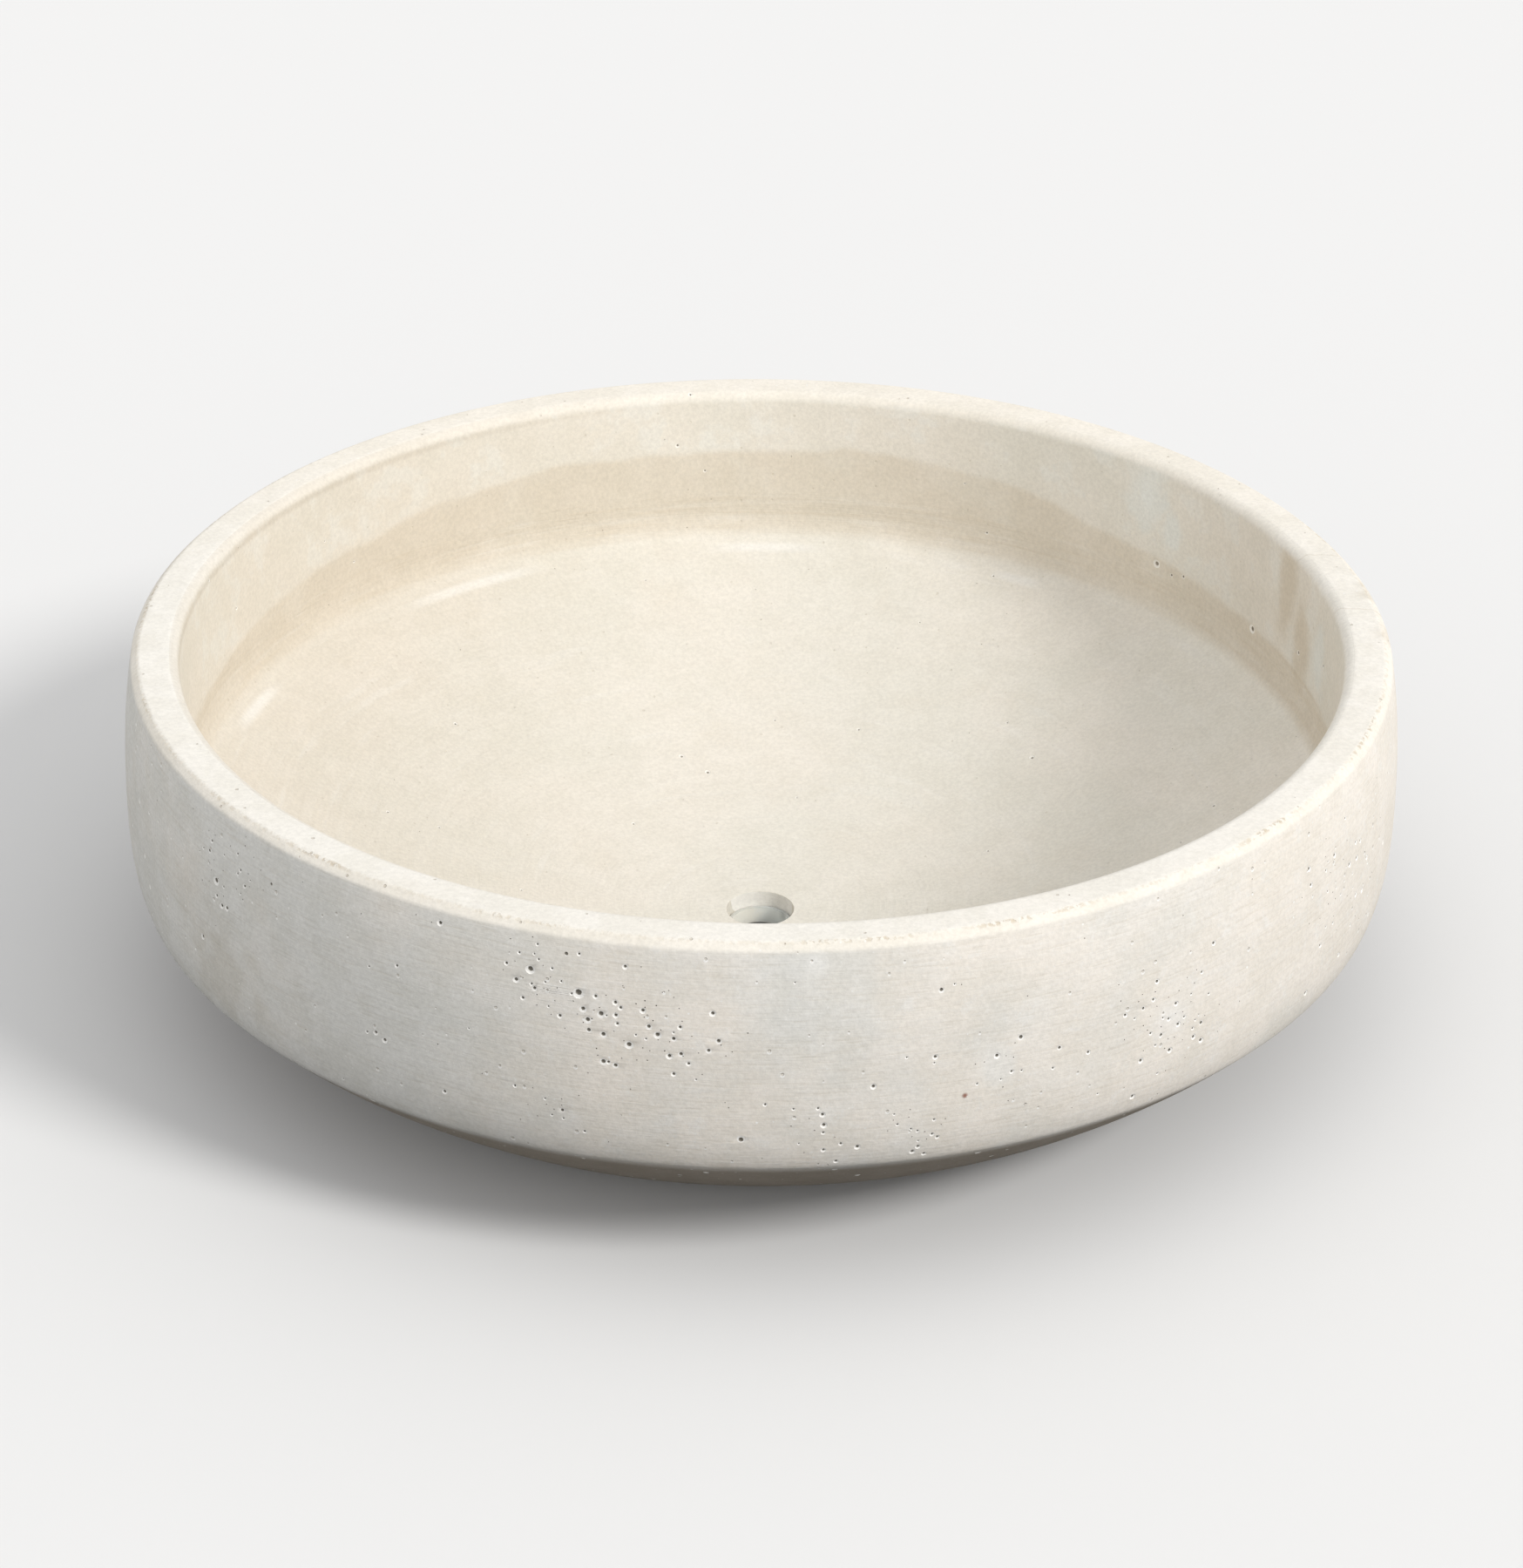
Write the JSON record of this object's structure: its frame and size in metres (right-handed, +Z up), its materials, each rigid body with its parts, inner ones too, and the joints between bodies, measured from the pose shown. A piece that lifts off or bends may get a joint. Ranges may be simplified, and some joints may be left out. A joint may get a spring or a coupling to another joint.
{
  "type": "bowl planter",
  "caption": "Low round bowl planter in pale cast concrete: swelling wall, flat rim, sides turned under to a flat base, and a dished floor with a sleeved central drain hole.",
  "frame": {"origin": "centre of the flat base that the bowl stands on, on the axis of the drain hole", "axes": "+Z up along the bowl's axis of revolution, from the base to the open rim; the bowl is round, and +Y is the direction in which the picture looks"},
  "size_m": [0.508, 0.508, 0.145],
  "materials": {
    "cast_concrete": "matte off-white cast concrete, mottled warm grey, with small air holes",
    "sleeve_plastic": "satin off-white pipe plastic"
  },
  "bodies": {
    "root": {"bowl": "cast_concrete", "drain_sleeve": "sleeve_plastic"}
  },
  "joints": []
}
